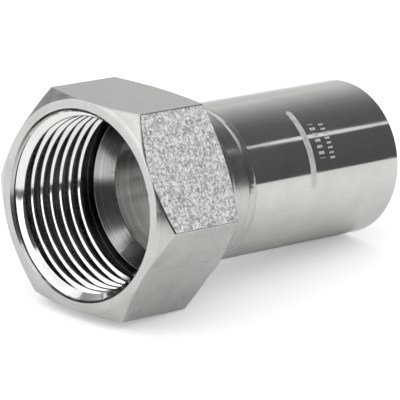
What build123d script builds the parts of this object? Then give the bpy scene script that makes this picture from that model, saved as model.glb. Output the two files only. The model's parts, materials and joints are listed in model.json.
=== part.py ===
from build123d import *
from math import atan2, cos, degrees, radians, tan
import os

# A threaded spigot adapter in stainless steel: a hexagonal socket with an internal pipe thread,
# joined by a ring weld to a plain tube that is pushed into the next fitting.
# Its pieces are drawn along their own axis, with the mouth of the socket at 0 and the tube
# towards +X, and are then laid down as the loose part comes to rest.

# Driving dimensions in millimetres

# Internal parallel pipe thread of the socket, 11 turns to the inch
thread_major_d = 33.249
thread_pitch = 25.4 / 11
thread_depth_share = 0.640327
thread_length = 14.9

# Shallow recess at the mouth, which leads the male thread in
mouth_clearance = 0.175
recess_taper = 0.3
recess_depth = 0.9

# Groove where the thread ends, with the socket's floor behind it
relief_clearance = 0.08
relief_width = 1.9
floor_cone_angle = 45.0

# Hexagon for a wrench, with a turned chamfer at both ends
flat_wall = 1.725
face_inset = 0.05
front_chamfer_angle = 33.5
rear_chamfer_angle = 24.0

# Round shoulder behind the hexagon, which narrows to the neck
floor_backing = 0.84
collar_wall = 1.2
collar_length = 1.0
shoulder_cone_angle = 45.0
shoulder_blend_r = 1.5
neck_length = 4.0

# Ring weld between the neck and the tube
weld_face_width = 1.8
weld_root_width = 1.0
weld_crown = 0.2

# Plain tube end
tube_outer_d = 28.0
tube_wall = 1.5
tube_length = 38.9
tube_end_bevel = 0.25

# Radii that follow from them
thread_major_r = thread_major_d / 2
thread_minor_r = thread_major_r - thread_depth_share * thread_pitch
mouth_r = thread_major_r + mouth_clearance
recess_r = mouth_r - recess_taper
relief_r = thread_major_r + relief_clearance
apothem = thread_major_r + flat_wall
corner_r = apothem / cos(radians(30))
face_r = apothem - face_inset
collar_r = relief_r + collar_wall
tube_r = tube_outer_d / 2
bore_r = tube_r - tube_wall

# Places along the axis, from the mouth inwards
lead_in_end = recess_depth + recess_r - thread_minor_r
relief_start = lead_in_end + thread_length
floor_at = relief_start + relief_width
floor_cone_end = floor_at + (thread_minor_r - bore_r) / tan(radians(floor_cone_angle))

# Places along the outside, from the mouth to the tube's free end
collar_end = floor_at + floor_backing
hex_length = collar_end - collar_length
shoulder_end = collar_end + (collar_r - tube_r) / tan(radians(shoulder_cone_angle))
weld_start = shoulder_end + neck_length
weld_middle = weld_start + weld_face_width / 2
weld_end = weld_start + weld_face_width
root_start = weld_middle - weld_root_width / 2
root_end = weld_middle + weld_root_width / 2
length = weld_middle + tube_length

# A cutting outline runs this far past the faces that it cuts
overrun = 2.0


def turned(outline):
    """Solid turned about the axis from a closed outline of lines and arcs."""
    return revolve(make_face(outline), Axis.X)


def run(*places):
    """Straight lines through places given as distance along the axis and radius."""
    return Polyline(*[(along, 0, radius) for along, radius in places])


def bow(start, end, rise):
    """Shallow arc between two places of equal radius, raised by rise at its middle."""
    middle = ((start[0] + end[0]) / 2, start[1] + rise)
    return ThreePointArc(*[(along, 0, radius) for along, radius in (start, middle, end)])


def chamfer_depth(radius, from_radius, angle):
    """Depth at radius of a chamfer that starts at from_radius, at an angle to the end face."""
    return (radius - from_radius) * tan(radians(angle))


def hexagon_bar():
    """Hexagonal bar along the axis, with one flat below and one above."""
    section = RegularPolygon(apothem, 6, major_radius=False)
    return extrude(Plane.YZ * section, weld_end + overrun)


def socket_envelope():
    """Outside of the socket as it is turned: chamfers, collar, shoulder, neck and weld bevel."""
    clear_r = corner_r + overrun
    front_depth = chamfer_depth(clear_r, face_r, front_chamfer_angle)
    rear_depth = chamfer_depth(clear_r, collar_r, rear_chamfer_angle)
    outline = run(
        (0, 0),
        (0, face_r),
        (front_depth, clear_r),
        (hex_length - rear_depth, clear_r),
        (hex_length, collar_r),
        (collar_end, collar_r),
        (shoulder_end, tube_r),
        (weld_start, tube_r),
        (root_start, bore_r),
        (root_start, 0),
        (0, 0),
    )
    face = make_face(outline)
    foot = face.vertices().sort_by_distance((shoulder_end, 0, tube_r))[0]
    return revolve(fillet(foot, shoulder_blend_r), Axis.X)


def socket_bore():
    """Inside of the socket: recess, lead-in, thread at its inner diameter, groove, cone and bore."""
    return turned(
        run(
            (-overrun, 0),
            (-overrun, mouth_r),
            (0, mouth_r),
            (recess_depth, recess_r),
            (lead_in_end, thread_minor_r),
            (relief_start, thread_minor_r),
            (relief_start, relief_r),
            (floor_at, relief_r),
            (floor_at, thread_minor_r),
            (floor_cone_end, bore_r),
            (weld_end + overrun, bore_r),
            (weld_end + overrun, 0),
            (-overrun, 0),
        )
    )


def hex_socket():
    """Hexagonal socket with its collar and neck, one machined casting."""
    return (hexagon_bar() & socket_envelope()) - socket_bore()


def weld_seam():
    """Ring of weld metal, bowed a little outwards over the tube and flush with the bore inside."""
    crown = bow((weld_start, tube_r), (weld_end, tube_r), weld_crown)
    root = run((weld_end, tube_r), (root_end, bore_r), (root_start, bore_r), (weld_start, tube_r))
    return turned([crown, root])


def spigot_tube():
    """Plain tube from the weld to its free end, with the end's edges broken."""
    return turned(
        run(
            (root_end, bore_r),
            (weld_end, tube_r),
            (length - tube_end_bevel, tube_r),
            (length, tube_r - tube_end_bevel),
            (length, bore_r + tube_end_bevel),
            (length - tube_end_bevel, bore_r),
            (root_end, bore_r),
        )
    )


# At rest the hexagon's rear edge and the tube's end touch the surface, so the axis slopes
rest_edge_at = hex_length - chamfer_depth(apothem, collar_r, rear_chamfer_angle)
rest_span = length - tube_end_bevel - rest_edge_at
rest_tilt = degrees(atan2(apothem - tube_r, rest_span))

pieces = {
    "hex_socket": hex_socket(),
    "weld_seam": weld_seam(),
    "spigot_tube": spigot_tube(),
}
lying = {name: Rot(0, rest_tilt, 0) * piece for name, piece in pieces.items()}

# The origin is on that surface, below the middle of the part's box
box = Compound(list(lying.values())).bounding_box()
to_origin = Pos(-box.center().X, -box.center().Y, -box.min.Z)

os.makedirs("parts", exist_ok=True)
for name, piece in lying.items():
    placed = to_origin * piece
    export_step(placed, f"parts/{name}.step")
    print(name, round(placed.volume, 1), "mm3")

print("slope at rest", round(rest_tilt, 2), "degrees")
print("size", [round(edge, 2) for edge in (box.size.X, box.size.Y, box.size.Z)])
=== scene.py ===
# %% [markdown]
# # A welded pipe adapter in a small studio
# The object is one short pipe fitting in stainless steel. A hexagonal socket with an internal
# pipe thread is welded to a plain tube, and it lies on its hexagon and on the tube's free end.
# A measured model gives its place and its main sizes. This lesson dresses that model: it builds
# each piece as a mesh with its edges, thread and weld ripples, gives each surface its finish, and
# then sets up the light, the floor and the camera.

# %% Load the measured model
import json
from math import asin, atan, cos, degrees, pi, radians, sin, sqrt, tan

import bpy
import numpy as np
from mathutils import Matrix, Vector


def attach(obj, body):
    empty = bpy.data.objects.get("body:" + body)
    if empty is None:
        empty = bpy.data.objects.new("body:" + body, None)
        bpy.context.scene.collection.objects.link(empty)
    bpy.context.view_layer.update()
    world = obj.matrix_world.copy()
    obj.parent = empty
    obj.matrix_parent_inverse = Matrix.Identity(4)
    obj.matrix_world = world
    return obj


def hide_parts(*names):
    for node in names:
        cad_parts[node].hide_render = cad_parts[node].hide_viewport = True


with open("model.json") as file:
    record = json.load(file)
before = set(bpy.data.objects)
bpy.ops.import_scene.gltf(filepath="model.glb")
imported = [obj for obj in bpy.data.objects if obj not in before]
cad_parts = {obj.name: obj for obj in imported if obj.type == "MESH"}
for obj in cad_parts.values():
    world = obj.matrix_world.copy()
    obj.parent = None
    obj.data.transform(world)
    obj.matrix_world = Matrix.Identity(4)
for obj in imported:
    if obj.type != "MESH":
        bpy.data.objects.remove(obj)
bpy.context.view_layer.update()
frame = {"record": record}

MM = 0.001


# %% [markdown]
# ## The fitting's own axis
# Nearly everything on the fitting is round about one line, so each piece is drawn along that line:
# x runs from the mouth of the socket to the free end of the tube, and z points through the upper
# wrench flat. The part lies with its axis sloping down by a few degrees. It could be drawn sloped,
# but turning the finished piece is easier to follow, so the slope sits in one matrix, taken from
# the model's mounts.

# %% Read the axis from the model
def mount(name):
    """The model's mount of that name."""
    return next(each for each in frame["record"]["mounts"] if each["name"] == name)


socket_thread = mount("socket_thread")
wrench_flat = mount("wrench_flat_top")
inward = -Vector(socket_thread["axis"])
upward = Vector(wrench_flat["axis"])
across = upward.cross(inward)
thread_middle = Vector(socket_thread["pos_m"])
mouth_point = Vector(mount("mouth_face")["pos_m"])
mouth_centre = thread_middle + inward * (mouth_point - thread_middle).dot(inward)
lying = Matrix((inward, across, upward)).transposed().to_4x4()
lying.translation = mouth_centre
print("axis slope in degrees:", round(degrees(asin(-inward.z)), 2))

# %% Read the main sizes from the model
thread_minor_r = socket_thread["dims"]["r_mm"]
thread_length = socket_thread["dims"]["length_mm"]
tube_r = mount("spigot")["dims"]["r_mm"]
bore_r = mount("waterway")["dims"]["r_mm"]
apothem = (Vector(wrench_flat["pos_m"]) - mouth_centre).dot(upward) / MM
relief_start = (thread_middle - mouth_centre).dot(inward) / MM + thread_length / 2
print("across the flats in mm:", round(2 * apothem, 2))
print("thread ends at", round(relief_start, 2), "mm from the mouth")

# %% [markdown]
# ## Sizes that follow
# The thread is a parallel pipe thread with 11 turns to the inch and rounded tops and bottoms.
# Its depth and its rounding are fixed shares of the pitch, so the pitch alone gives the tooth.
# Every other step is a small named difference from a size that is already known, as on a turner's
# drawing, so a change of one size carries the rest along. All of them are in millimetres.

# %% Steps of the inside
thread_pitch = 25.4 / 11
thread_depth_share = 0.640327
thread_round_share = 0.137329
thread_flank_angle = 27.5
thread_round_r = thread_round_share * thread_pitch
thread_major_r = thread_minor_r + thread_depth_share * thread_pitch

mouth_clearance = 0.175
recess_taper = 0.3
recess_depth = 0.6
mouth_r = thread_major_r + mouth_clearance
recess_r = mouth_r - recess_taper
lead_in_end = recess_depth + recess_r - thread_minor_r

relief_clearance = 0.08
relief_width = 1.9
relief_r = thread_major_r + relief_clearance
floor_at = relief_start + relief_width
floor_cone_end = floor_at + thread_minor_r - bore_r
print("lead-in ends at", round(lead_in_end, 3), "and the inner cone at", round(floor_cone_end, 3))

# %% Steps of the outside
face_inset = 0.05
front_chamfer_angle = 33.5
rear_chamfer_angle = 24.0
collar_wall = 1.2
collar_length = 1.0
floor_backing = 0.84
neck_length = 4.0
weld_width = 1.8
weld_root_width = 1.0
tube_length = 38.9

face_r = apothem - face_inset
collar_r = relief_r + collar_wall
collar_end = floor_at + floor_backing
hex_end = collar_end - collar_length
shoulder_end = collar_end + collar_r - tube_r
neck_end = shoulder_end + neck_length
weld_middle = neck_end + weld_width / 2
weld_end = neck_end + weld_width
root_start = weld_middle - weld_root_width / 2
root_end = weld_middle + weld_root_width / 2
tube_end = weld_middle + tube_length
print("hexagon ends at", round(hex_end, 3), "and the tube at", round(tube_end, 3))

# %% [markdown]
# ## Edges
# A file or a turning tool breaks every edge of a fitting, and the small roundings catch the light.
# A Bevel modifier could round the edges of a finished mesh. Here the outline is rounded before it
# is turned, because each edge then keeps its own radius, and the outline keeps the same number of
# points at every angle.

# %% A helper that draws the arc at a corner
corner_steps = 4
longest_reach = 0.45


def corner_arc(before, here, after, rounding, steps):
    """Points of the arc that rounds the corner here, between its two neighbours."""
    before_length = np.linalg.norm(before - here)
    after_length = np.linalg.norm(after - here)
    back = (before - here) / before_length
    onward = (after - here) / after_length
    half_angle = np.arccos(np.clip(back @ onward, -1, 1)) / 2
    room = longest_reach * min(before_length, after_length)
    reach = min(rounding / tan(half_angle), room)
    round_r = reach * tan(half_angle)
    middle = (back + onward) / np.linalg.norm(back + onward)
    centre = here + middle * round_r / sin(half_angle)
    start = here + back * reach - centre
    end = here + onward * reach - centre
    turn = np.arccos(np.clip(start @ end / round_r**2, -1, 1))
    shares = [step / steps for step in range(steps + 1)]
    return [
        centre + (sin((1 - share) * turn) * start + sin(share * turn) * end) / sin(turn)
        for share in shares
    ]


# %% A helper that rounds the corners of an outline
def rounded(corners, steps=corner_steps):
    """Points of an outline whose corners, given as (along, radius, rounding), are rounded off."""
    places = [np.array(corner[:2]) for corner in corners]
    points = [places[0]]
    for index in range(1, len(corners) - 1):
        before, here, after = places[index - 1:index + 2]
        rounding = corners[index][2]
        if rounding == 0:
            points.append(here)
        else:
            points += corner_arc(before, here, after, rounding, steps)
    points.append(places[-1])
    return points


# %% [markdown]
# ## Drawing a turned piece as columns
# A lathe makes a shape that is the same all round, and Blender's Screw modifier could spin such an
# outline. This socket isn't the same all round: a hexagon cuts its outside and a thread winds
# through its inside. So the outline is worked out afresh at each angle, always with the same
# number of points, and neighbouring outlines are joined by quads. The edges then land exactly
# on the mesh, which a Boolean cut wouldn't give.

# %% A helper that joins outlines into a mesh
def add_object(name, data):
    """A new object with that data, in the scene."""
    added = bpy.data.objects.new(name, data)
    bpy.context.scene.collection.objects.link(added)
    return added


def ring_mesh(name, outlines, angles, finish_of=None):
    """A mesh from one outline per angle; finish_of gives a face's place in the materials."""
    rows = len(outlines[0])
    along, radius = np.moveaxis(np.array(outlines), 2, 0)
    turn = np.array(angles)[:, None]
    points = np.stack([along, radius * np.cos(turn), radius * np.sin(turn)], axis=2) * MM
    bands = [(column, row) for column in range(len(outlines) - 1) for row in range(rows)]
    faces = []
    for column, row in bands:
        here = column * rows
        after = (row + 1) % rows
        faces.append((here + row, here + after, here + rows + after, here + rows + row))
    mesh = bpy.data.meshes.new(name)
    mesh.from_pydata(points.reshape(-1, 3).tolist(), [], faces)
    if finish_of:
        mesh.polygons.foreach_set("material_index", [finish_of(*band) for band in bands])
    return add_object(name, mesh)


# %% A helper for a piece with evenly spaced outlines
def turned_piece(name, outline_at, columns):
    """A piece from the outline at evenly spaced angles all round."""
    angles = [2 * pi * step / columns for step in range(columns + 1)]
    return ring_mesh(name, [outline_at(angle) for angle in angles], angles)


# %% A helper that closes, smooths and lays down a piece
import bmesh

merge_distance = 0.0005
shortest_edge = 0.0002
flat_weight = 80


def finish_mesh(piece, crease_angle=32):
    """Joins the last outline to the first, turns the faces outwards and smooths the edges."""
    shape = bmesh.new()
    shape.from_mesh(piece.data)
    bmesh.ops.remove_doubles(shape, verts=shape.verts, dist=merge_distance * MM)
    bmesh.ops.dissolve_degenerate(shape, edges=shape.edges, dist=shortest_edge * MM)
    bmesh.ops.recalc_face_normals(shape, faces=shape.faces)
    open_edges = sum(not edge.is_manifold for edge in shape.edges)
    shape.transform(lying)
    shape.to_mesh(piece.data)
    shape.free()
    piece.data.shade_smooth()
    piece.data.set_sharp_from_angle(angle=radians(crease_angle))
    weighting = piece.modifiers.new("even flats", "WEIGHTED_NORMAL")
    weighting.keep_sharp = True
    weighting.weight = flat_weight
    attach(piece, "root")
    triangles = sum(len(face.vertices) - 2 for face in piece.data.polygons)
    print(piece.name, "has", triangles, "triangles and", open_edges, "open edges")


# %% [markdown]
# ## The hexagon
# The bar stock is hexagonal, its six long edges slightly rounded. Seen along the axis, its radius
# swings between the flats and the corners. A lathe then cuts a flat cone on both ends, so the
# cone meets each flat in a curve. A Boolean could cut both, but at each angle that meeting point
# is simple arithmetic, and it gives clean edges.

# %% The radius of the hexagon at an angle
hex_sides = 6
side_angle = 2 * pi / hex_sides
half_side = side_angle / 2
corner_round_r = 0.35
corner_centre_r = (apothem - corner_round_r) / cos(half_side)
flat_half_angle = atan((apothem - corner_round_r) * tan(half_side) / apothem)


def hexagon_radius(angle):
    """Radius of the rounded hexagon, with one flat straight up."""
    from_flat = abs((angle - pi / 2 + half_side) % side_angle - half_side)
    if from_flat <= flat_half_angle:
        return apothem / cos(from_flat)
    from_corner = half_side - from_flat
    sideways = corner_centre_r * sin(from_corner)
    return corner_centre_r * cos(from_corner) + sqrt(corner_round_r**2 - sideways**2)


print("across the corners in mm:", round(2 * hexagon_radius(0), 2))

# %% The outside of the socket at an angle
wall_from = 0.3
mouth_edge_fall = 0.1
mouth_edge_r = 0.06
face_edge_r = 0.1
front_edge_r = 0.45
rear_edge_r = 0.3
collar_foot_r = 0.15
collar_edge_r = 0.2
shoulder_foot_r = 1.5
neck_edge_r = 0.05


def outside_corners(angle):
    """Corners of the socket's outside at an angle, from the mouth to the weld."""
    hex_r = hexagon_radius(angle)
    front = (hex_r - face_r) * tan(radians(front_chamfer_angle))
    rear = hex_end - (hex_r - collar_r) * tan(radians(rear_chamfer_angle))
    return [
        (wall_from, mouth_r - mouth_edge_fall, 0),
        (0, mouth_r, mouth_edge_r),
        (0, face_r, face_edge_r),
        (front, hex_r, front_edge_r),
        (rear, hex_r, rear_edge_r),
        (hex_end, collar_r, collar_foot_r),
        (collar_end, collar_r, collar_edge_r),
        (shoulder_end, tube_r, shoulder_foot_r),
        (neck_end, tube_r, neck_edge_r),
        (root_start, bore_r, 0),
    ]


# %% [markdown]
# ## The thread
# An internal thread is a groove that winds deeper with each turn. A tooth swept along a helix
# could cut it, but a Boolean with that many slivers rarely comes out clean. So one tooth outline
# is drawn once, from rounded top to rounded bottom and back, and repeated for each turn. At each
# angle the whole row slides along the axis by its share of a pitch, and that slide makes the
# helix. Where the recess and the lead-in cone are wider than the thread, the cone wins, so the
# first turn starts as a thin crescent on the cone, as it does on a turned part.

# %% One tooth of the thread
round_steps = 5
flank_steps = 3


def flank(start, end):
    """Points between the end of one rounding and the start of the next."""
    shares = [step / flank_steps for step in range(1, flank_steps)]
    return [tuple(np.array(start) * (1 - share) + np.array(end) * share) for share in shares]


def tooth():
    """Points (along, radius) of one pitch of the thread, from the middle of a ridge."""
    round_half = radians(90 - thread_flank_angle)
    turns = [round_half * step / round_steps for step in range(-round_steps, round_steps + 1, 2)]
    ridge = [
        (thread_round_r * sin(turn), thread_minor_r + thread_round_r * (1 - cos(turn)))
        for turn in turns
    ]
    groove = [
        (thread_pitch / 2 + thread_round_r * sin(turn),
         thread_major_r - thread_round_r * (1 - cos(turn)))
        for turn in turns
    ]
    next_ridge = np.array(ridge[0]) + (thread_pitch, 0)
    return ridge + flank(ridge[-1], groove[0]) + groove + flank(groove[-1], next_ridge)


thread_tooth = tooth()
print("one tooth has", len(thread_tooth), "points")

# %% The row of turns at an angle, cut off at both ends
thread_phase = 2.12
first_turn = -3
last_turn = 9


def cut_turns(angle):
    """Points of the turns at an angle, where a radius of None marks a point past an end."""
    slide = thread_phase + thread_pitch * angle / (2 * pi)
    turns = [
        (along + slide + turn * thread_pitch, radius)
        for turn in range(first_turn, last_turn + 1) for along, radius in thread_tooth
    ]
    points = []
    for index, (along, radius) in enumerate(turns):
        cut = min(max(along, wall_from), relief_start)
        if cut != along:
            next_along, next_radius = turns[index + 1] if along < cut else turns[index - 1]
            if (next_along - cut) * (along - cut) < 0:
                radius += (next_radius - radius) * (cut - along) / (next_along - along)
            else:
                radius = None
        points.append([cut, radius])
    return points


def draw_in(points):
    """Moves the points past an end onto the last one before it, and returns which were kept."""
    kept = [index for index, point in enumerate(points) if point[1] is not None]
    for index, point in enumerate(points):
        if point[1] is None:
            point[:] = points[kept[0] if index < kept[0] else kept[-1]]
    return kept


# %% The opening at the mouth
def opening_radius(along):
    """Radius of the recess and the lead-in cone at a distance from the mouth."""
    if along < recess_depth:
        return mouth_r + (recess_r - mouth_r) * along / recess_depth
    return max(recess_r - (along - recess_depth), 0)


def put_on_edges(points, kept):
    """Moves the nearest points onto the edges of the opening, where that is the wider one."""
    for edge in (recess_depth, lead_in_end):
        nearest = min(kept, key=lambda index: abs(points[index][0] - edge))
        if opening_radius(points[nearest][0]) > points[nearest][1]:
            points[nearest][0] = edge


# %% The threaded wall at an angle
def put_on_crossings(points):
    """Moves a point onto each place where the thread comes out of the opening."""
    gaps = [radius - opening_radius(along) for along, radius in points]
    for index in range(len(points) - 1):
        if gaps[index] * gaps[index + 1] < 0:
            share = gaps[index] / (gaps[index] - gaps[index + 1])
            here = points[index][0]
            meeting = here + (points[index + 1][0] - here) * share
            nearer = index if share < 0.5 else index + 1
            points[nearer] = [meeting, opening_radius(meeting)]
            gaps[nearer] = 0


def threaded_wall(angle):
    """Points of the wall at an angle, from the opening to the relief groove."""
    points = cut_turns(angle)
    kept = draw_in(points)
    put_on_edges(points, kept)
    put_on_crossings(points)
    return [(along, max(radius, opening_radius(along))) for along, radius in points]


print("the threaded wall has", len(threaded_wall(0)), "points")

# %% [markdown]
# ## Putting the socket together
# Behind the thread the tool leaves a groove to run out into, and a cone that leads to the bore.
# One outline per angle goes round the whole section: outside, bore, cone, groove and thread. It
# could be several pieces, but a casting is one piece, and one closed mesh has no seams. The
# columns stand close at the hexagon's corners, where the outline changes fast.

# %% The outlines of the socket
bore_edge_r = 0.25
floor_edge_r = 0.12
groove_corner_r = 0.25
flat_columns = 44
corner_columns = 8

floor_outline = rounded([
    (root_start, bore_r, 0),
    (floor_cone_end, bore_r, bore_edge_r),
    (floor_at, thread_minor_r, floor_edge_r),
    (floor_at, relief_r, groove_corner_r),
    (relief_start, relief_r, 0),
])
corner_from = flat_half_angle
corner_to = side_angle - flat_half_angle
side_run = [
    *np.linspace(-flat_half_angle, flat_half_angle, flat_columns, endpoint=False),
    *np.linspace(corner_from, corner_to, corner_columns, endpoint=False),
]
column_angles = [
    side_angle * side + half_side + step for side in range(hex_sides) for step in side_run
]
column_angles.append(column_angles[0] + 2 * pi)
socket_outlines = [
    rounded(outside_corners(angle))[1:] + floor_outline[1:] + threaded_wall(angle)[::-1]
    for angle in column_angles
]
print("the socket has", len(column_angles), "outlines of", len(socket_outlines[0]), "points")

# %% [markdown]
# ## Bands of finish
# Each tool leaves its own finish on the stretch that it cuts. The stretches could be selected by
# hand in the mesh, but the outline already has them in order. It has the same number of points
# for every rounded corner, so a row's number tells which stretch a face belongs to. Only the
# thread slides along the rows, and there the slope of a face decides: the flanks that face the
# mouth get a painted highlight, and the other faces of the thread get painted shade, as does the
# relief groove behind it.

# %% The rows where one finish gives way to the next
# Two of these finishes are painted light: a lighter copy of the steel as a painted highlight on
# the flanks that face the mouth, and a dark copy as painted shade in the grooves.
socket_finishes = ["turned_face", "smooth_flat", "blasted_flat", "turned_skin", "bright_flank",
                   "deep_groove", "cone"]
rows_per_corner = corner_steps + 1
chamfer_edge_row = 3 * rows_per_corner - 1
flat_end_row = 4 * rows_per_corner - 2
skin_end_row = 8 * rows_per_corner
cone_end_row = 10 * rows_per_corner - 1
wall_start_row = 11 * rows_per_corner + 2
blasted_side = 2
flank_slope = 0.7
recess_allowance = 0.01
print("finishes change at rows", chamfer_edge_row, flat_end_row, skin_end_row, cone_end_row,
      wall_start_row)


# %% The finish of each band of the socket
def wall_finish(outline, row):
    """Finish of a wall face: recess, flank towards the mouth with painted highlight, or painted
    shade.
    """
    deeper = outline[row]
    nearer = outline[(row + 1) % len(outline)]
    if nearer[0] < recess_depth + recess_allowance:
        return "turned_face"
    widening = nearer[1] - deeper[1]
    forward = deeper[0] - nearer[0]
    # Flanks that face the mouth get a much lighter colour as a painted highlight; the rest of the
    # thread gets a dark colour as painted shade.
    return "bright_flank" if widening > flank_slope * abs(forward) else "deep_groove"


def socket_finish(column, row):
    """Place in the list of finishes for a face of the socket."""
    side, step = divmod(column, flat_columns + corner_columns)
    if row < chamfer_edge_row:
        finish = "turned_face"
    elif row < flat_end_row:
        finish = "blasted_flat" if side == blasted_side and step < flat_columns else "smooth_flat"
    elif row < skin_end_row:
        finish = "turned_skin"
    elif row < cone_end_row:
        finish = "cone"
    elif row < wall_start_row:
        # The relief groove gets the dark colour of painted shade.
        finish = "deep_groove"
    else:
        finish = wall_finish(socket_outlines[column], row)
    return socket_finishes.index(finish)


# %% Build the socket
socket_piece = ring_mesh("socket", socket_outlines, column_angles, socket_finish)
finish_mesh(socket_piece)
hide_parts("hex_socket")

# %% [markdown]
# ## The ring weld
# A weld bead is molten metal that froze in small waves, each one lapping over the last. A bump in
# the material could draw them, but the bead shows against the light at its edge, so the low crown
# and its ripples are in the mesh. Nothing else here repeats so finely, so this piece has many
# narrow columns.

# %% Build the weld
weld_crown = 0.2
weld_columns = 576
crown_steps = 14
crown_fullness = 0.8
crown_level = 0.9
weld_ripples = 96
ripple_bow = 2.2
ripple_share = 0.03


def weld_outline(angle):
    """Outline of the weld at an angle: its crown, and the root inside the bore."""
    points = []
    for step in range(crown_steps + 1):
        share = 2 * step / crown_steps - 1
        wave = sin(weld_ripples * angle + ripple_bow * share**2)
        rise = weld_crown * (1 - share**2)**crown_fullness * (crown_level + ripple_share * wave)
        points.append((weld_middle + share * weld_width / 2, tube_r + rise))
    return points + [(root_end, bore_r), (weld_middle, bore_r), (root_start, bore_r)]


weld_piece = turned_piece("weld", weld_outline, weld_columns)
finish_mesh(weld_piece, crease_angle=60)
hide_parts("weld_seam")

# %% [markdown]
# ## The tube
# The tube is drawn steel, so its outside is the smoothest surface of the object. Its free end is
# cut square and deburred on both edges. A plain cylinder would reflect the room too perfectly.
# This one has the small bevels and the slight waviness of a drawn tube, a few thousandths of a
# millimetre, which never rises above the nominal size.

# %% How a drawn tube wavers
waviness = 0.004
oval_drift = 0.11
lobe_share = 0.6
lobe_drift = 0.17


def tube_waver(angle, along):
    """How far the tube's outside lies from its nominal radius."""
    oval = sin(2 * angle + along * oval_drift)
    lobes = lobe_share * sin(3 * angle - along * lobe_drift + 1)
    return waviness * (oval + lobes - 1 - lobe_share)


# %% Build the tube
tube_bevel = 0.25
tube_edge_r = 0.08
weld_side_r = 0.02
tube_columns = 192
tube_rings = 30
tube_steps = 3


def tube_outline(angle):
    """Outline of the tube at an angle, from the weld to the free end and back inside."""
    bevel_start = tube_end - tube_bevel
    corners = [(root_end, bore_r, 0), (weld_end, tube_r, weld_side_r)]
    for ring in range(1, tube_rings):
        along = weld_end + (bevel_start - weld_end) * ring / tube_rings
        corners.append((along, tube_r + tube_waver(angle, along), 0))
    corners += [
        (bevel_start, tube_r, tube_edge_r),
        (tube_end, tube_r - tube_bevel, tube_edge_r),
        (tube_end, bore_r + tube_bevel, tube_edge_r),
        (bevel_start, bore_r, tube_edge_r),
        (root_end, bore_r, 0),
    ]
    return rounded(corners, tube_steps)[:-1]


tube_piece = turned_piece("tube", tube_outline, tube_columns)
finish_mesh(tube_piece)
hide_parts("spigot_tube")

# %% [markdown]
# ## Where the tool marks run
# All of it is one metal, so the finishes differ in how each surface was made. A lathe leaves
# rings, drawing leaves lines along the piece, and blasting leaves grain. A noise texture stretched
# one way gives such marks. They could follow unwrapped coordinates, but the marks follow the
# fitting's own axis, so a node group turns every place into millimetres along and about that
# axis. For the rings only the place along the axis and the radius change fast, and the angle
# makes them sway a little. For the lines the place along the axis hardly counts.

# %% Helpers that add nodes
def add_node(tree, kind, inputs=None, **settings):
    """A node with its settings; each input takes a value or another node's output."""
    node = tree.nodes.new("ShaderNode" + kind)
    for key, value in settings.items():
        setattr(node, key, value)
    for key, value in (inputs or {}).items():
        if isinstance(value, bpy.types.NodeSocket):
            tree.links.new(value, node.inputs[key])
        else:
            node.inputs[key].default_value = value
    return node


def calculate(tree, operation, *values):
    """The result of a sum on numbers or outputs."""
    return add_node(tree, "Math", dict(enumerate(values)), operation=operation).outputs["Value"]


# %% The node group with the places along the axis
ring_sway = 0.12
line_share = 0.03

axis_group = bpy.data.node_groups.new("axis millimetres", "ShaderNodeTree")
place = add_node(axis_group, "Mapping", {
    "Vector": add_node(axis_group, "TexCoord").outputs["Object"],
    "Location": mouth_centre,
    "Rotation": lying.to_euler(),
    "Scale": (MM, MM, MM),
}, vector_type="TEXTURE").outputs["Vector"]
x, y, z = add_node(axis_group, "SeparateXYZ", {"Vector": place}).outputs
off_axis = add_node(axis_group, "CombineXYZ", {"Y": y, "Z": z}).outputs["Vector"]
radius = add_node(axis_group, "VectorMath", {0: off_axis}, operation="LENGTH").outputs["Value"]
spoke = add_node(axis_group, "VectorMath", {0: off_axis}, operation="NORMALIZE").outputs["Vector"]
spoke_parts = add_node(axis_group, "SeparateXYZ", {"Vector": spoke}).outputs
sideways = calculate(axis_group, "MULTIPLY", spoke_parts["Y"], ring_sway)
upwards = calculate(axis_group, "MULTIPLY", spoke_parts["Z"], ring_sway)
rings = add_node(axis_group, "CombineXYZ", {"X": x, "Y": radius, "Z": sideways})
short_x = calculate(axis_group, "MULTIPLY", x, line_share)
lines = add_node(axis_group, "CombineXYZ", {"X": short_x, "Y": y, "Z": z})

# %% The outputs of the group
axis_outputs = {
    "Place": place,
    "Rings": rings.outputs["Vector"],
    "Rings W": upwards,
    "Lines": lines.outputs["Vector"],
    "Along": x,
    "Angle": calculate(axis_group, "ARCTAN2", y, z),
}
for name, output in axis_outputs.items():
    kind = "NodeSocketVector" if output.type == "VECTOR" else "NodeSocketFloat"
    axis_group.interface.new_socket(name, in_out="OUTPUT", socket_type=kind)
group_output = axis_group.nodes.new("NodeGroupOutput")
for name, output in axis_outputs.items():
    axis_group.links.new(output, group_output.inputs[name])
print("axis group has", len(axis_group.nodes), "nodes")

# %% [markdown]
# ## One recipe for every steel surface
# A finish is a metal with three layers of detail. Tool marks are fine and run one way. Clouds are
# slow changes of polish across the piece. A faint swell makes reflections waver, as they do on
# every metal that isn't ground flat. Each surface could have a material of its own, but one recipe
# keeps them one metal, and they differ only in how strong each layer is.

# %% Helpers that start a material
def axis_places(tree):
    """The outputs of the axis group, in a material's tree."""
    group = tree.nodes.new("ShaderNodeGroup")
    group.node_tree = axis_group
    return group.outputs


def new_finish(name):
    """A new material, with its tree and the inputs of its shader."""
    material = bpy.data.materials.new(name)
    material.use_nodes = True
    tree = material.node_tree
    return material, tree, tree.nodes["Principled BSDF"].inputs


# %% Helpers for the layers
def stretch(tree, value, source, result):
    """A value stretched from one range to another, each given as (lowest, highest)."""
    return add_node(tree, "MapRange", {
        "Value": value,
        "From Min": source[0],
        "From Max": source[1],
        "To Min": result[0],
        "To Max": result[1],
    }).outputs["Result"]


def relief(tree, height, depth, **under):
    """The normal of a relief as deep as depth, in thousandths of a millimetre."""
    sizes = {"Height": height, "Distance": depth * MM * MM, "Strength": 1.0}
    return add_node(tree, "Bump", {**sizes, **under}).outputs["Normal"]


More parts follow.
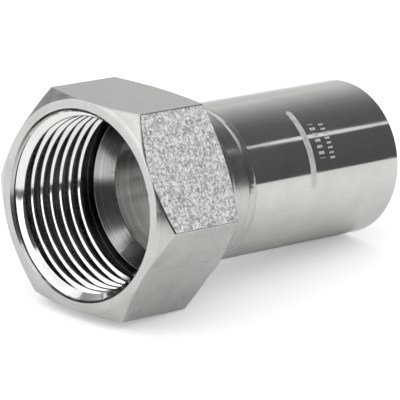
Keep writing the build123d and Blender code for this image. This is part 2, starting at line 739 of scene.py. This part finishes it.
# %% The recipe for turned and drawn steel
steel_tint = (1.0, 1.0, 0.99)
cloud_scale = 0.22
swell_scale = 0.14
mark_range = (0.3, 0.7)
cloud_range = (0.35, 0.65)
polish_swing = (0.8, 1.25)


def steel_finish(name, shade, roughness, marks, mark_scale, mark_depth, mark_shade=0.1,
                 cloud_shade=0.06, swell_depth=4):
    """A steel with rings, lines or grain; depths are in thousandths of a millimetre."""
    material, tree, shader = new_finish(name)
    places = axis_places(tree)
    tool = add_node(tree, "TexNoise", {
        "Vector": places[marks], "W": places["Rings W"], "Scale": mark_scale,
        "Detail": 3.0, "Roughness": 0.6}, noise_dimensions="4D").outputs["Fac"]
    clouds = add_node(tree, "TexNoise", {
        "Vector": places["Place"], "Scale": cloud_scale,
        "Detail": 4.0, "Roughness": 0.55}).outputs["Fac"]
    swell = add_node(tree, "TexNoise", {
        "Vector": places["Place"], "Scale": swell_scale, "Detail": 1.0}).outputs["Fac"]
    mark_level = stretch(tree, tool, mark_range, (1 - mark_shade, 1 + mark_shade))
    cloud_level = stretch(tree, clouds, cloud_range, (1 - cloud_shade, 1 + cloud_shade))
    colour = add_node(tree, "VectorMath", {
        0: tuple(shade * part for part in steel_tint),
        "Scale": calculate(tree, "MULTIPLY", mark_level, cloud_level),
    }, operation="SCALE").outputs["Vector"]
    tree.links.new(colour, shader["Base Color"])
    polish = stretch(tree, clouds, cloud_range, [roughness * swing for swing in polish_swing])
    tree.links.new(polish, shader["Roughness"])
    shader["Metallic"].default_value = 1.0
    swell_relief = relief(tree, swell, swell_depth)
    tree.links.new(relief(tree, tool, mark_depth, Normal=swell_relief), shader["Normal"])
    return material


# %% [markdown]
# ## The blasted flat
# One flat is rough, with worm-like grains under a millimetre long that scatter the light. The
# grains could be cut into the mesh, but they are far finer than its faces. A distorted noise
# draws them, and it drives the colour and the bump together: the grain gets a random tone, and
# its colour is lighter on each grain's top, a painted highlight.

# %% The recipe for blasted steel
grain_tones_and_painted_light = (0.38, 1.0)
blasted_roughness = 0.6
blasted_metallic = 0.45
grain_size = 0.62
grain_depth = 80
grain_range = (0.38, 0.6)
grain_distortion = 1.2


def blasted_finish(name):
    """A matt steel covered with grains."""
    material, tree, shader = new_finish(name)
    grain = add_node(tree, "TexNoise", {
        "Vector": axis_places(tree)["Place"], "Scale": 1 / grain_size, "Detail": 2.0,
        "Roughness": 0.6, "Distortion": grain_distortion}).outputs["Fac"]
    # The colour follows the grain's height: a random grain tone, plus a painted highlight on each
    # grain's top.
    shade = stretch(tree, grain, grain_range, grain_tones_and_painted_light)
    tree.links.new(shade, shader["Base Color"])
    shader["Metallic"].default_value = blasted_metallic
    shader["Roughness"].default_value = blasted_roughness
    tree.links.new(relief(tree, grain, grain_depth), shader["Normal"])
    return material


# %% [markdown]
# ## The finish of each surface
# The tool left the face, the chamfers and the shoulder with fine rings, and the flats with the
# faint lines of the bar. On the thread the flanks that look to the mouth get a painted
# highlight, a much lighter colour of the same steel, and the grooves and the relief groove get
# painted shade, a very dark colour, where little light gets in. The tube is polished, and the
# weld has the bright grain of metal that froze.

# %% Make the finishes
finishes = {
    "turned_face": steel_finish(
        "turned_face", shade=0.6, roughness=0.2, marks="Rings", mark_scale=5, mark_depth=1.2),
    "smooth_flat": steel_finish(
        "smooth_flat", shade=0.62, roughness=0.3, marks="Lines", mark_scale=4, mark_depth=1.0,
        mark_shade=0.04, swell_depth=10),
    "blasted_flat": blasted_finish("blasted_flat"),
    "turned_skin": steel_finish(
        "turned_skin", shade=0.6, roughness=0.22, marks="Rings", mark_scale=4, mark_depth=1.0),
    # A lighter copy of the steel: a painted highlight on the flanks that face the mouth.
    "bright_flank": steel_finish(
        "bright_flank", shade=0.88, roughness=0.1, marks="Rings", mark_scale=7, mark_depth=0.3,
        mark_shade=0.04, cloud_shade=0.04, swell_depth=1),
    # A very dark copy of the steel: painted shade in the grooves.
    "deep_groove": steel_finish(
        "deep_groove", shade=0.14, roughness=0.25, marks="Rings", mark_scale=7, mark_depth=0.8,
        mark_shade=0.2),
    "cone": steel_finish(
        "cone", shade=0.5, roughness=0.16, marks="Rings", mark_scale=3, mark_depth=1.5,
        mark_shade=0.25),
    "weld_metal": steel_finish(
        "weld_metal", shade=0.6, roughness=0.2, marks="Place", mark_scale=3, mark_depth=2.0),
    "tube_steel": steel_finish(
        "tube_steel", shade=0.66, roughness=0.08, marks="Lines", mark_scale=2, mark_depth=0.4,
        mark_shade=0.03, cloud_shade=0.04, swell_depth=8),
}
print("finishes:", ", ".join(finishes))

# %% [markdown]
# ## The mark on the tube
# Fittings carry an etched mark. This one is a plain bar round the tube with two rows of short
# strokes beside it, which say nothing. Etching takes off no thickness that could be seen, so the
# mark is no mesh: it is a mask worked out from the place along and round the tube. It leaves a
# frosted surface, lighter than the dark reflections on the polish and duller than the bright ones.

# %% The bar of the mark
bar_along = 44.7
bar_arc = 14.0
bar_half_length = 7.0
bar_half_width = 0.72


def bar_mask(tree, along, arc):
    """One inside a bar with round ends, and zero elsewhere."""
    beside = calculate(tree, "SUBTRACT", along, bar_along)
    from_middle = calculate(tree, "ABSOLUTE", calculate(tree, "SUBTRACT", arc, bar_arc))
    past = calculate(tree, "SUBTRACT", from_middle, bar_half_length)
    past_end = calculate(tree, "MAXIMUM", past, 0.0)
    beside_square = calculate(tree, "MULTIPLY", beside, beside)
    past_square = calculate(tree, "MULTIPLY", past_end, past_end)
    away = calculate(tree, "SQRT", calculate(tree, "ADD", past_square, beside_square))
    return calculate(tree, "LESS_THAN", away, bar_half_width)


# %% The strokes of the mark
near_row = {"along": 47.6, "half_height": 0.7, "arc": 13.2, "half_length": 3.3, "step": 1.15,
            "half_stroke": 0.23}
far_row = {"along": 50.2, "half_height": 0.6, "arc": 13.4, "half_length": 3.6, "step": 0.9,
           "half_stroke": 0.2}


def row_mask(tree, along, arc, row):
    """One inside the strokes of a row, and zero elsewhere."""
    beside = calculate(tree, "COMPARE", along, row["along"], row["half_height"])
    reach = calculate(tree, "COMPARE", arc, row["arc"], row["half_length"])
    step = calculate(tree, "FRACT", calculate(tree, "DIVIDE", arc, row["step"]))
    stroke = calculate(tree, "COMPARE", step, 0.5, row["half_stroke"])
    return calculate(tree, "MULTIPLY", calculate(tree, "MULTIPLY", beside, reach), stroke)


# %% A helper that frosts a surface
frosted = {"Base Color": (0.62, 0.63, 0.62, 1), "Roughness": 0.55, "Metallic": 0.35}


def frost(tree, name, value, strength):
    """Mixes a value into an input of the shader, as strong as strength."""
    socket = tree.nodes["Principled BSDF"].inputs[name]
    mix = add_node(tree, "Mix", data_type="RGBA" if socket.type == "RGBA" else "FLOAT")
    factor, polished, etched = [each for each in mix.inputs if each.enabled]
    if socket.is_linked:
        tree.links.new(socket.links[0].from_socket, polished)
    else:
        polished.default_value = socket.default_value
    etched.default_value = value
    tree.links.new(strength, factor)
    mixed = next(each for each in mix.outputs if each.enabled)
    tree.links.new(mixed, socket)


# %% Etch the mark
wear_scale = 1.3
wear_range = (0.3, 0.6)
etch_strength = (0.55, 1.0)


def etch_mark(material):
    """Frosts a bar and two rows of strokes on a steel finish."""
    tree = material.node_tree
    places = axis_places(tree)
    along = places["Along"]
    arc = calculate(tree, "MULTIPLY", places["Angle"], -tube_r)
    mask = bar_mask(tree, along, arc)
    for row in (near_row, far_row):
        mask = calculate(tree, "MAXIMUM", mask, row_mask(tree, along, arc, row))
    wear = add_node(tree, "TexNoise", {
        "Vector": places["Place"], "Scale": wear_scale, "Detail": 4.0}).outputs["Fac"]
    strength = calculate(tree, "MULTIPLY", mask, stretch(tree, wear, wear_range, etch_strength))
    for name, value in frosted.items():
        frost(tree, name, value, strength)


etch_mark(finishes["tube_steel"])
print("tube finish has", len(finishes["tube_steel"].node_tree.nodes), "nodes")

# %% Put the finishes on the pieces
for name in socket_finishes:
    socket_piece.data.materials.append(finishes[name])
weld_piece.data.materials.append(finishes["weld_metal"])
tube_piece.data.materials.append(finishes["tube_steel"])
for piece in (socket_piece, weld_piece, tube_piece):
    print(piece.name, "wears", [material.name for material in piece.data.materials])

# %% [markdown]
# ## The room
# Bright metal shows its surroundings, so the surroundings are most of its looks. The room is
# white, as a light tent is. A picture of a studio could stand in for it, but a plain white world
# with a few cards is easier to steer.

# %% The white room
world = bpy.data.worlds.new("white room")
world.use_nodes = True
bpy.context.scene.world = world
background = world.node_tree.nodes["Background"].inputs
background["Color"].default_value = (1, 1, 1, 1)
background["Strength"].default_value = 1
print("world:", world.name)

# %% [markdown]
# ## The cards
# A photographer of metal hangs grey and black cards round the object, and their reflections draw
# its shape: the dark band on the tube, the shades of the flats, the bright and dark arcs in the
# bore. Each card here is part of a sphere round the object, with a glow at each corner that fades
# between them. Planes would do as well, but degrees are easier to set from the render. Only
# reflections see the cards, so they neither light the floor nor shade it.

# %% A helper for things that only reflections show
def reflection_card(name, points, faces, glow):
    """A card with one glow all over, or with one for each of its points."""
    mesh = bpy.data.meshes.new(name)
    mesh.from_pydata(points, [], faces)
    panel = add_object(name, mesh)
    material = bpy.data.materials.new(name)
    material.use_nodes = True
    material.cycles.emission_sampling = "NONE"
    tree = material.node_tree
    tree.nodes.clear()
    if isinstance(glow, list):
        mesh.attributes.new("glow", "FLOAT", "POINT").data.foreach_set("value", glow)
        glow = add_node(tree, "Attribute", attribute_name="glow").outputs["Fac"]
    light = add_node(tree, "Emission", {"Strength": glow}).outputs["Emission"]
    add_node(tree, "OutputMaterial", {"Surface": light})
    mesh.materials.append(material)
    panel.visible_camera = False
    panel.visible_diffuse = False
    panel.visible_shadow = False


# %% Helpers for directions and fades
def towards(azimuth, elevation):
    """The direction of an azimuth and an elevation in degrees, seen from the object."""
    level = cos(radians(elevation))
    return Vector((
        level * cos(radians(azimuth)), level * sin(radians(azimuth)), sin(radians(elevation))))


def between(ends, share):
    """The value at a share of the way between two ends."""
    return ends[0] * (1 - share) + ends[1] * share


# %% A helper for curved cards
card_columns = 48
card_rows = 16


def card(name, azimuths, elevations, distance, low, high, bend=1.0):
    """A curved card between two azimuths and two elevations, in degrees.

    low and high are the glows of its lower and upper edge, each as (first azimuth, second
    azimuth), and bend shapes how they fade across.
    """
    points = []
    glows = []
    for column in range(card_columns + 1):
        azimuth = between(azimuths, column / card_columns)
        fade = (column / card_columns)**bend
        for row in range(card_rows + 1):
            up = row / card_rows
            points.append(distance * towards(azimuth, between(elevations, up)))
            glows.append(between((between(low, fade), between(high, fade)), up))
    stride = card_rows + 1
    corners = [column * stride + row for column in range(card_columns) for row in range(card_rows)]
    faces = [(here, here + 1, here + stride + 1, here + stride) for here in corners]
    reflection_card(name, points, faces, glows)
    print(name, "spans", azimuths, "by", elevations, "degrees")


# %% Hang the walls of the room
wall_distance = 1.1
wall_heights = (-2, 42)
dark_from = -100
ramp_from = -25
back_from = 38
back_to = 115

card("dark side", (dark_from, ramp_from), wall_heights, wall_distance,
     low=(0.08, 0.1), high=(0.08, 0.13))
card("side ramp", (ramp_from, back_from), wall_heights, wall_distance,
     low=(0.1, 0.75), high=(0.13, 0.75), bend=3)
card("back", (back_from, back_to), wall_heights, wall_distance,
     low=(0.75, 0.35), high=(0.6, 0.25))
card("upper side", azimuths=(dark_from, 10), elevations=(wall_heights[1], 75),
     distance=wall_distance, low=(0.1, 0.13), high=(0.45, 0.5))

# %% Hang the cards near the camera and the two glows
near_distance = 0.3

card("camera side", azimuths=(-160, dark_from), elevations=(-6, 50), distance=near_distance,
     low=(0.05, 0.05), high=(0.08, 0.1))
card("horizon strip", azimuths=(-195, -158), elevations=(-6, 5), distance=near_distance,
     low=(0.16, 0.06), high=(0.16, 0.06))
card("key glow", azimuths=(-160, -242), elevations=(3, 55), distance=0.7,
     low=(1.7, 1.9), high=(1.1, 1.1))
card("tube highlight", azimuths=(-26, -22.5), elevations=(29, 33), distance=1.0,
     low=(1.1, 1.1), high=(1.1, 1.1))

# %% Stand a dark card behind the tube's open end
end_card_gap = 20
end_card_half_width = 20
end_card_foot = -14
end_card_top = 16
end_card_glow = 0.08

beyond = mouth_centre + inward * (tube_end + end_card_gap) * MM
end_card_corners = [
    tuple(beyond + across * (side * end_card_half_width * MM) + upward * (height * MM))
    for side, height in (
        (-1, end_card_foot), (1, end_card_foot), (1, end_card_top), (-1, end_card_top))
]
reflection_card("dark end card", end_card_corners, [(0, 1, 2, 3)], end_card_glow)
print("the end card stands", end_card_gap, "mm beyond the tube")

# %% [markdown]
# ## The lamps
# The cards give the reflections, and the lamps give the soft light on the floor and on the matt
# surfaces. Point lamps would draw hard shadows, so both are wide area lamps, as softboxes are. The
# one before the mouth is left out of reflections, because a card already shows a glow there.

# %% Hang the soft lamps
def lamp(name, azimuth, elevation, distance, size, level):
    """A soft lamp that faces the object, as bright as a white wall times level."""
    data = bpy.data.lights.new(name, "AREA")
    data.shape = "RECTANGLE"
    data.size, data.size_y = size
    data.energy = level * pi * size[0] * size[1]
    light = add_object(name, data)
    direction = towards(azimuth, elevation)
    light.location = direction * distance
    light.rotation_euler = direction.to_track_quat("Z", "Y").to_euler()
    print(name, "gives", round(data.energy, 2), "watts")
    return light


key_softbox = lamp("key softbox", 152, 38, distance=0.7, size=(0.65, 0.45), level=1.0)
key_softbox.visible_glossy = False
lamp("overhead softbox", -70, 68, distance=0.8, size=(0.8, 0.5), level=0.4)

# %% [markdown]
# ## The floor
# The object lies on matt pale paper. White paper would need more light to look white, and that
# light would also fall on the metal. So the paper is a little grey, and only the camera sees a
# small glow added to it. That lifts it to white and leaves the soft shadow under the object.

# %% Lay the floor
floor_reach = 0.8
floor_sides = 64
floor_shade = 0.85
floor_lift = 0.3

floor_points = [(0, 0, 0)]
for step in range(floor_sides):
    turn = 2 * pi * step / floor_sides
    floor_points.append((floor_reach * cos(turn), floor_reach * sin(turn), 0))
floor_faces = [(0, step + 1, (step + 1) % floor_sides + 1) for step in range(floor_sides)]
floor_mesh = bpy.data.meshes.new("studio floor")
floor_mesh.from_pydata(floor_points, [], floor_faces)
studio_floor = add_object("studio floor", floor_mesh)
print("the floor reaches", floor_reach, "m from the object")

# %% Make the paper
paper = bpy.data.materials.new("pale floor")
paper.use_nodes = True
tree = paper.node_tree
tree.nodes.clear()
matt = add_node(tree, "BsdfDiffuse", {"Color": (floor_shade, floor_shade, floor_shade, 1)})
lift = add_node(tree, "Emission", {"Strength": floor_lift})
lifted = add_node(tree, "AddShader", {0: matt.outputs["BSDF"], 1: lift.outputs["Emission"]})
seen = add_node(tree, "MixShader", {
    "Fac": add_node(tree, "LightPath").outputs["Is Camera Ray"],
    1: matt.outputs["BSDF"],
    2: lifted.outputs["Shader"],
})
add_node(tree, "OutputMaterial", {"Surface": seen.outputs["Shader"]})
floor_mesh.materials.append(paper)
print("paper has", len(tree.nodes), "nodes")

# %% [markdown]
# ## The camera
# The camera looks down into the mouth from the left, so that the thread, three flats and the whole
# tube show. The hexagon hardly narrows towards the back, which means a long lens from far away.
# A shorter lens close by would show the same pieces, but the mouth would grow and the tube shrink.

# %% Place the camera
camera_azimuth = -136.999
camera_elevation = 18.845
camera_roll = radians(1.446)
camera_distance = 0.71255
camera_aim = Vector((-0.00703, -0.00356, 0.01581))
camera_lens = 367.19
camera_sensor = 36

camera_data = bpy.data.cameras.new("studio camera")
camera_data.sensor_width = camera_sensor
camera_data.lens = camera_lens
camera = add_object("studio camera", camera_data)
looking = -towards(camera_azimuth, camera_elevation)
level_right = looking.cross(Vector((0, 0, 1))).normalized()
level_up = level_right.cross(looking)
right = level_right * cos(camera_roll) + level_up * sin(camera_roll)
top = level_up * cos(camera_roll) - level_right * sin(camera_roll)
camera.matrix_world = Matrix((right, top, -looking)).transposed().to_4x4()
camera.location = camera_aim - looking * camera_distance
bpy.context.scene.camera = camera
bpy.context.scene.view_settings.view_transform = "Standard"
print("camera at", [round(value, 3) for value in camera.location])
